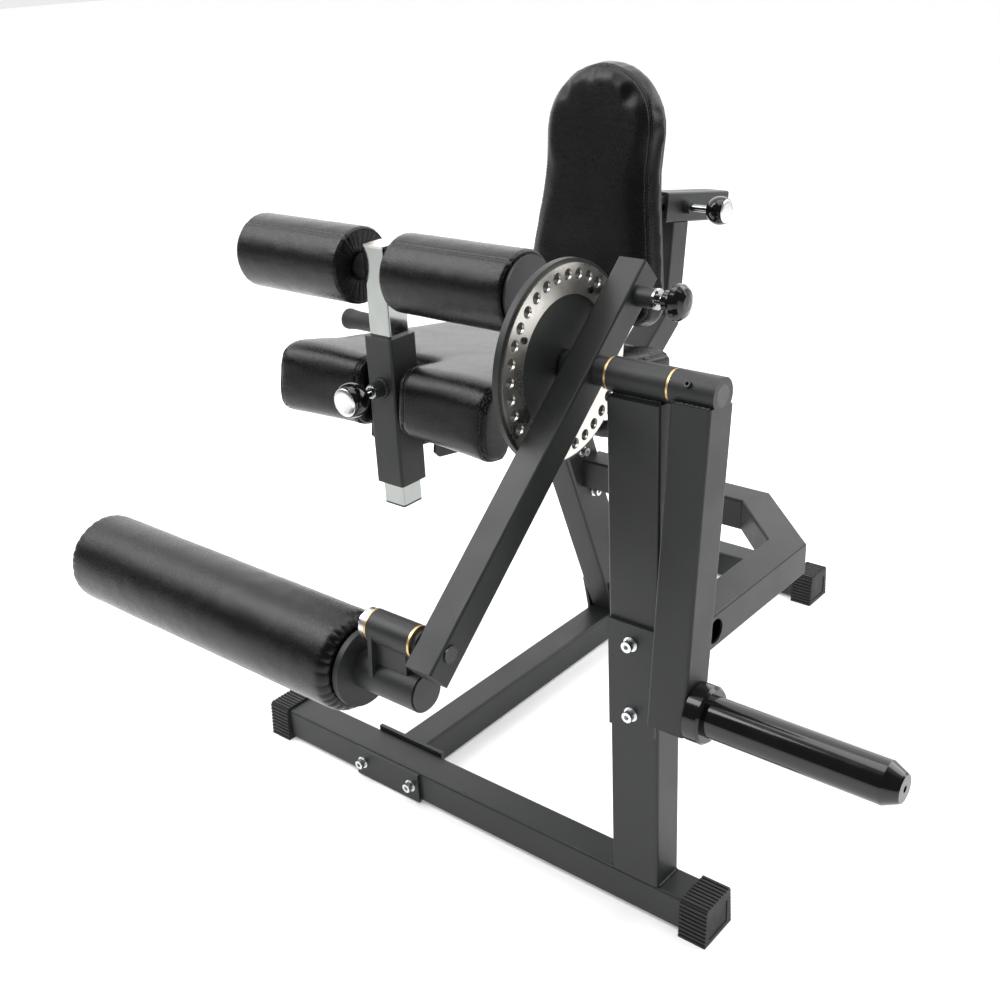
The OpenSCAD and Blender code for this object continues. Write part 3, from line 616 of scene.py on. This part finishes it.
finishPad("seatPad", seatCover, "frame", "seat_pad")
finishTrim("seatPiping", seatTrim, "blackVinyl", "frame")
finishTrim("seatStitches", seatThreads, "seamThread", "frame")

backLook = dict(face=396.0, rear=437.0, inset=-2.5, round=11.0, pressure=9.0, cap=6.0,
                sides=[(101, 376), (105, 331), (114, 271), (123, 206)])


def arcPoints(x, w, r, first, last, steps):
    return [(x + r * math.cos(math.radians(first + (last - first) * k / steps)),
             w + r * math.sin(math.radians(first + (last - first) * k / steps)))
            for k in range(steps + 1)]


def backOutline(look, inset):
    left = [(inset - x, w) for x, w in look["sides"]]
    right = [(x - inset, w) for x, w in reversed(look["sides"])]
    return (arcPoints(0, 433, 103 - inset, 0, 180, 24) + left
            + arcPoints(-93, 172, 35 - inset, 180, 270, 8)
            + arcPoints(93, 172, 35 - inset, 270, 360, 8) + right)


def buildBack(look):
    bm = bmesh.new()
    outline = backOutline(look, look["inset"])
    face = bm.faces.new([bm.verts.new((x * mm, look["face"] * mm, w * mm)) for x, w in outline])
    grown = bmesh.ops.extrude_face_region(bm, geom=[face])
    moved = [g for g in grown["geom"] if isinstance(g, bmesh.types.BMVert)]
    bmesh.ops.translate(bm, vec=(0, (look["rear"] - look["face"]) * mm, 0), verts=moved)
    bmesh.ops.recalc_face_normals(bm, faces=bm.faces)
    rim = [e for e in bm.edges if all(v.co.y < (look["face"] + 1) * mm for v in e.verts)]
    bmesh.ops.bevel(bm, geom=rim, offset=look["round"] * mm, offset_type="OFFSET", segments=4,
                    profile=0.5, affect="EDGES", material=-1)
    cover = shell(meshOf(bm, "backCover"), remeshSize["back"])
    cover = swell(cover, look["pressure"], look["cap"],
                  lambda co: co.y > (look["rear"] - 3) * mm)
    for vertex in cover.vertices:
        if vertex.co.y < 0.41:
            vertex.co.y += 0.0005 * noise.noise(vertex.co * 25)
    return cover


backCover = buildBack(backLook)
seamLine = [Vector((x * mm, 401 * mm, w * mm)) for x, w in backOutline(backLook, -3.0)]
seamLine = between(seamLine + [seamLine[0]], 5 * mm)
onCover, _ = laidOn(treeOf(backCover), seamLine, 0)
sewnIn(backCover, onCover, 3.0, 1.5)
backTree = treeOf(backCover)
onCover, _ = laidOn(backTree, onCover, 0.3 * mm)
backTrim = [bar(onCover[:-1], 1.4 * mm, closed=True)]
backThreads = [threads(backTree, onCover, aside) for aside in (-4.0, 4.0)]
finishPad("backPad", backCover, "back", "back_pad")
finishTrim("backPiping", backTrim, "blackVinyl", "back")
finishTrim("backStitches", backThreads, "seamThread", "back")

print("scene: rollers")

rollerLook = dict(endRound=13.0, pleats=30, pleatDepth=1.5, pleatReach=10.0, seam=1.7, steps=204)
thighLook = dict(rollerLook, endRound=4.5, pleatDepth=0.35, pleatReach=8.0)


# Foam roller under a vinyl sleeve, along X; seamAt is the lap seam's angle and hole the bore's radius
def buildRoller(name, node, body, look, seamAt, hole, swirl):
    low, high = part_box(node)
    centre = (low + high) / 2
    radius = (high.z - low.z) / 2 - 0.8 * mm
    half = (high.x - low.x) / 2
    r = look["endRound"] * mm
    profile = [(hole * mm, -half + 7 * mm), (hole * mm + 3 * mm, -half + 3.5 * mm)]
    reach = radius - r
    for k in range(1, 6):
        profile.append((hole * mm + (reach - hole * mm) * k / 5, -half + 3 * mm * (1 - k / 5) ** 2))
    for k in range(1, 7):
        turn = math.radians(15 * k)
        profile.append((reach + r * math.sin(turn), -half + r - r * math.cos(turn)))
    rows = max(8, round((half - r) / (7 * mm)))
    straight = [(radius, -half + r + (half - r) * k / rows) for k in range(1, rows)]
    wall = profile + straight
    wall += [(radius, 0)] + [(a, -b) for a, b in reversed(wall)]
    bm = turned(wall + [wall[0]], look["steps"])
    bm.normal_update()
    for vertex in bm.verts:
        away = math.hypot(vertex.co.x, vertex.co.y)
        if away < (hole + 1) * mm:
            continue
        angle = math.atan2(vertex.co.y, vertex.co.x)
        fromEnd = half - abs(vertex.co.z)
        gather = math.exp(-(fromEnd / (look["pleatReach"] * mm)) ** 2)
        fold = abs(math.sin(angle * look["pleats"] / 2 + 2.2 * noise.noise(
            Vector((math.cos(angle) * 2, math.sin(angle) * 2, vertex.co.z * 3 + swirl)))))
        drop = look["pleatDepth"] * mm * gather * (1 - fold) ** 1.5
        bend = (angle - seamAt + math.pi) % (2 * math.pi) - math.pi
        gap = bend * radius / mm
        lap = -look["seam"] * math.exp(-(gap / 1.3) ** 2) + 0.5 * math.exp(-((gap - 6) / 5) ** 2)
        ripple = 0.35 * noise.noise(Vector((angle * 2.5, vertex.co.z * 70, swirl))) \
            + 0.4 * noise.noise(Vector((angle * 1.3, vertex.co.z * 12, swirl + 5)))
        onWall = 1.0 if away > radius - r else 0.0
        vertex.co -= vertex.normal * drop
        vertex.co += vertex.normal * (lap * onWall + ripple) * mm
    mesh = meshOf(bm, name)
    mesh.transform(pointing((1, 0, 0), centre))
    piece = newPiece(name, mesh, "blackVinyl", body)
    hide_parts(node)
    return piece


buildRoller("ankleFoam", "ankle_roller", "ankle", rollerLook, math.radians(-62), 20.0, 1.0)
buildRoller("leftThighFoam", "left_thigh_roller", "left_thigh_roller", thighLook,
            math.radians(120), 13.0, 2.0)
buildRoller("rightThighFoam", "right_thigh_roller", "right_thigh_roller", thighLook,
            math.radians(120), 13.0, 3.0)


def endRings(name, node, body, inset):
    low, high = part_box(node)
    radius = (high.z - low.z) / 2 - inset * mm
    rings = []
    for x in (low.x + 1.0 * mm, high.x - 1.0 * mm):
        ring = [Vector((x, (low.y + high.y) / 2 + radius * math.cos(k * math.pi / 60),
                        (low.z + high.z) / 2 + radius * math.sin(k * math.pi / 60)))
                for k in range(120)]
        rings.append(bar(ring, 1.3 * mm, closed=True, ripple=0.08))
    newPiece(name, joined(rings, name), "blackVinyl", body)


endRings("leftThighPiping", "left_thigh_roller", "left_thigh_roller", 4.0)
endRings("rightThighPiping", "right_thigh_roller", "right_thigh_roller", 4.0)

print("scene: knobs")

knobLook = dict(ball=24.0, rise=22.0, faceAt=14.0)


# Ball knob with a domed metal face and a thin metal rim behind; axis points out of the face
def buildBallKnob(name, node, body, axis, look):
    low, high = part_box(node)
    axis = Vector(axis).normalized()
    centre = (low + high) / 2
    depth = (look["rise"] + look["faceAt"]) * mm
    start = centre - axis * depth / 2
    ball, rise, face = look["ball"], look["rise"], look["faceAt"]
    first = -math.degrees(math.asin((rise - 2) / ball))
    last = math.degrees(math.asin(face / ball)) - 6
    shape = [(0, 0.5), (9.5, 0.5)]
    shape += [(ball * math.cos(math.radians(a)), rise + ball * math.sin(math.radians(a)))
              for a in [first + (last - first) * k / 22 for k in range(23)]]
    rimR = ball * math.cos(math.radians(last))
    shape += [(rimR - 1.2, rise + face - 2.6), (0, rise + face - 2.8)]
    bm = turned([(r * mm, z * mm) for r, z in shape], 72)
    mesh = meshOf(bm, name, 40)
    mesh.transform(pointing(axis, start))
    piece = newPiece(name, mesh, "glossBlack", body)
    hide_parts(node)
    cap = [(0, rise + face - 3), (rimR - 1.5, rise + face - 3), (rimR - 1.1, rise + face - 1.6),
           (rimR - 1.8, rise + face - 0.7), (rimR * 0.6, rise + face - 0.3), (0, rise + face)]
    bm = turned([(r * mm, z * mm) for r, z in cap], 72)
    mesh = meshOf(bm, name + "Face", 50)
    mesh.transform(pointing(axis, start))
    newPiece(name + "Face", mesh, "zincPlate", body)
    ferrule = [(6.2, 0), (10.5, 0), (11.3, 0.8), (11.5, 2.6), (10.2, 4.2), (6.2, 4.2), (6.2, 0)]
    bm = turned([(r * mm, z * mm) for r, z in ferrule], 48)
    mesh = meshOf(bm, name + "Ferrule", 50)
    mesh.transform(pointing(axis, start))
    newPiece(name + "Ferrule", mesh, "mirrorChrome", body)


buildBallKnob("thighBall", "thigh_knob", "thigh_pin", (0, -1, 0), knobLook)
buildBallKnob("backBall", "back_knob", "back_pin", (1, 0, 0), knobLook)

print("scene: welds")

weldLook = dict(radius=2.6, step=2.2, ripple=0.22)


def weld(name, path, body, closed=False, matrix=None):
    points = between(path, weldLook["step"] * mm)
    rng = random.Random(name)
    points = [p + Vector([rng.uniform(-0.35, 0.35) * mm for _ in range(3)]) for p in points]
    mesh = bar(points, weldLook["radius"] * mm, closed, weldLook["ripple"])
    if matrix is not None:
        mesh.transform(matrix)
    return newPiece(name, mesh, "powderCoat", body)


def circleAlongX(x, y, z, r, steps=40, first=0, last=360):
    return [Vector((x, y + r * math.cos(math.radians(first + (last - first) * k / steps)),
                    z + r * math.sin(math.radians(first + (last - first) * k / steps))))
            for k in range(steps + 1)]


postLow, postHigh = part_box("post")
beamLow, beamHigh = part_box("front_beam")
housingLow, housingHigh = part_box("pivot_housing")
housingR = (housingHigh.z - housingLow.z) / 2
weld("postFootWeldLeft", [(postLow.x, beamLow.y + 0.004, beamHigh.z),
                          (postLow.x, beamHigh.y - 0.004, beamHigh.z)], "frame")
weld("postFootWeldRight", [(postHigh.x, beamLow.y + 0.004, beamHigh.z),
                           (postHigh.x, beamHigh.y - 0.004, beamHigh.z)], "frame")
for label, y in (("Front", shaftLine.y - 0.012), ("Back", shaftLine.y + 0.012)):
    weld("housingWeld" + label, [(postLow.x + 0.004, y, postHigh.z),
                                 (postHigh.x - 0.004, y, postHigh.z)], "frame")
leverLow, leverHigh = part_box("weight_lever")
weld("hubWeldFront", [(leverLow.x + 0.003, shaftLine.y - 0.0185, shaftLine.z - 0.0115),
                      (leverHigh.x - 0.003, shaftLine.y - 0.0185, shaftLine.z - 0.0115)], "shaft")
weld("hubWeldLeft", circleAlongX(leverLow.x, shaftLine.y, shaftLine.z, housingR + 0.0005,
                                 30, 205, 335), "shaft")


def bossWeld(name, pinNode, axis, at, radius, body):
    # a ring of weld where a pin's boss meets its tube
    spot = middle(pinNode)
    flat = pointing(axis, Vector(at(spot)))
    ring = [flat @ Vector((radius * math.cos(k * math.pi / 20),
                           radius * math.sin(k * math.pi / 20), 0)) for k in range(41)]
    return weld(name, ring, body)


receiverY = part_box("thigh_receiver")[1].y - 0.05
bossWeld("thighBossWeld", "thigh_pin", (0, 1, 0),
         lambda c: (c.x, receiverY - 0.0006, c.z), 0.0118, "frame")
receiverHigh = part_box("thigh_receiver")[1]
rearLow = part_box("rear_beam")[0]
for label, side in (("Left", -1), ("Right", 1)):
    x = seatMid + side * 0.0245
    weld("baseRearWeld" + label, [(x, rearLow.y, 0.006), (x, rearLow.y, 0.052)], "frame")
    weld("receiverWeld" + label, [(x, receiverHigh.y, 0.541), (x, receiverHigh.y, 0.582)], "frame")

pinRing = dict(outer=12.6, inner=6.3, length=3.5)
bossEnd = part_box("roller_arm")[1].x
pinMid = middle("arm_pin")
ringShape = [(pinRing["inner"], 0), (pinRing["outer"], 0),
             (pinRing["outer"], pinRing["length"] - 0.6),
             (pinRing["outer"] - 0.6, pinRing["length"]), (pinRing["inner"], pinRing["length"]),
             (pinRing["inner"], 0)]
bossRing = meshOf(turned([(r * mm, z * mm) for r, z in ringShape], 48), "bossRing", 40)
bossRing.transform(pointing((1, 0, 0), Vector((bossEnd - 3.3 * mm, pinMid.y, pinMid.z))))
newPiece("armBossRing", bossRing, "mirrorChrome", "arm")

# short bright collar on the thigh post's pin boss
thighPinMid = middle("thigh_pin")
collarShape = [(6.6, 0), (9.4, 0), (9.4, 3.6), (8.8, 4.4), (6.6, 4.4), (6.6, 0)]
bossCollar = meshOf(turned([(r * mm, z * mm) for r, z in collarShape], 48), "bossCollar", 40)
bossCollar.transform(pointing((0, -1, 0), Vector((
    thighPinMid.x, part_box("thigh_receiver")[0].y + 0.0004, thighPinMid.z))))
newPiece("thighBossCollar", bossCollar, "mirrorChrome", "frame")

print("scene: studio")

floorMesh = bpy.data.meshes.new("floor")
bm = bmesh.new()
bmesh.ops.create_grid(bm, x_segments=1, y_segments=1, size=30)
bm.to_mesh(floorMesh)
bm.free()
floor = bpy.data.objects.new("studioFloor", floorMesh)
scene.collection.objects.link(floor)
floorPaint = bpy.data.materials.new("studioWhite")
floorPaint.use_nodes = True
floorShader = floorPaint.node_tree.nodes["Principled BSDF"]
floorShader.inputs["Base Color"].default_value = (0.93, 0.93, 0.93, 1)
floorShader.inputs["Roughness"].default_value = 0.9
floorShader.inputs["Emission Color"].default_value = (1, 1, 1, 1)
floorShader.inputs["Emission Strength"].default_value = 0.2
floor.data.materials.append(floorPaint)

world = bpy.data.worlds.new("studio")
scene.world = world
world.use_nodes = True
sky = world.node_tree
background = sky.nodes["Background"]
where = sky.nodes.new("ShaderNodeTexCoord")
split = sky.nodes.new("ShaderNodeSeparateXYZ")
sky.links.new(where.outputs["Generated"], split.inputs[0])
ramp = sky.nodes.new("ShaderNodeMapRange")
behind = mathNode(sky, "ADD", mathNode(sky, "MULTIPLY", split.outputs["X"], -0.55),
                  mathNode(sky, "MULTIPLY", split.outputs["Y"], 0.72))
towards = mathNode(sky, "ADD", behind, mathNode(sky, "MULTIPLY", split.outputs["Z"], 0.42))
sky.links.new(towards, ramp.inputs["Value"])
ramp.inputs["From Min"].default_value = 0.1
ramp.inputs["From Max"].default_value = 0.95
ramp.inputs["To Min"].default_value = 0.12
ramp.inputs["To Max"].default_value = 1.9
path = sky.nodes.new("ShaderNodeLightPath")
# reflections see a darker room than the floor does, so black stays black
notMirrored = mathNode(sky, "SUBTRACT", 1.0, path.outputs["Is Glossy Ray"])
plain = mathNode(sky, "MULTIPLY", notMirrored, 0.85)
mirrored = mathNode(sky, "MULTIPLY", path.outputs["Is Glossy Ray"], ramp.outputs["Result"])
sky.links.new(mathNode(sky, "ADD", plain, mirrored), background.inputs["Strength"])
background.inputs["Color"].default_value = (1, 1, 1, 1)

lampLook = {
    "keyLamp": dict(at=(-2.2, -1.6, 3.2), size=2.2, power=95),
    "rimLamp": dict(at=(1.6, 2.6, 2.6), size=2.4, power=70),
    "topLamp": dict(at=(0.2, 0.2, 3.6), size=2.6, power=60),
}
for name, look in lampLook.items():
    lamp = bpy.data.lights.new(name, "AREA")
    lamp.size = look["size"]
    lamp.energy = look["power"]
    holder = bpy.data.objects.new(name, lamp)
    holder.location = look["at"]
    aim = Vector((0, 0, 0.45)) - Vector(look["at"])  # at the seat's height
    holder.rotation_euler = aim.to_track_quat("-Z", "Y").to_euler()
    scene.collection.objects.link(holder)

view = dict(at=(0.9509, -1.39855, 1.19069), azimuth=40.61, down=24.23, roll=-3.01, lens=45.53)
camera = bpy.data.objects.new("camera", bpy.data.cameras.new("camera"))
camera.data.lens = view["lens"]
camera.data.sensor_width = 36
azimuth, down, roll = (math.radians(view[k]) for k in ("azimuth", "down", "roll"))
ahead = Vector((-math.sin(azimuth) * math.cos(down), math.cos(azimuth) * math.cos(down),
                -math.sin(down)))
right = Vector((math.cos(azimuth), math.sin(azimuth), 0))
up = right.cross(ahead)
rolledRight = right * math.cos(roll) + up * math.sin(roll)
rolledUp = up * math.cos(roll) - right * math.sin(roll)
camera.matrix_world = Matrix.Translation(view["at"]) @ Matrix(
    (rolledRight, rolledUp, -ahead)).transposed().to_4x4()
scene.collection.objects.link(camera)
scene.camera = camera
scene.view_settings.view_transform = "Standard"
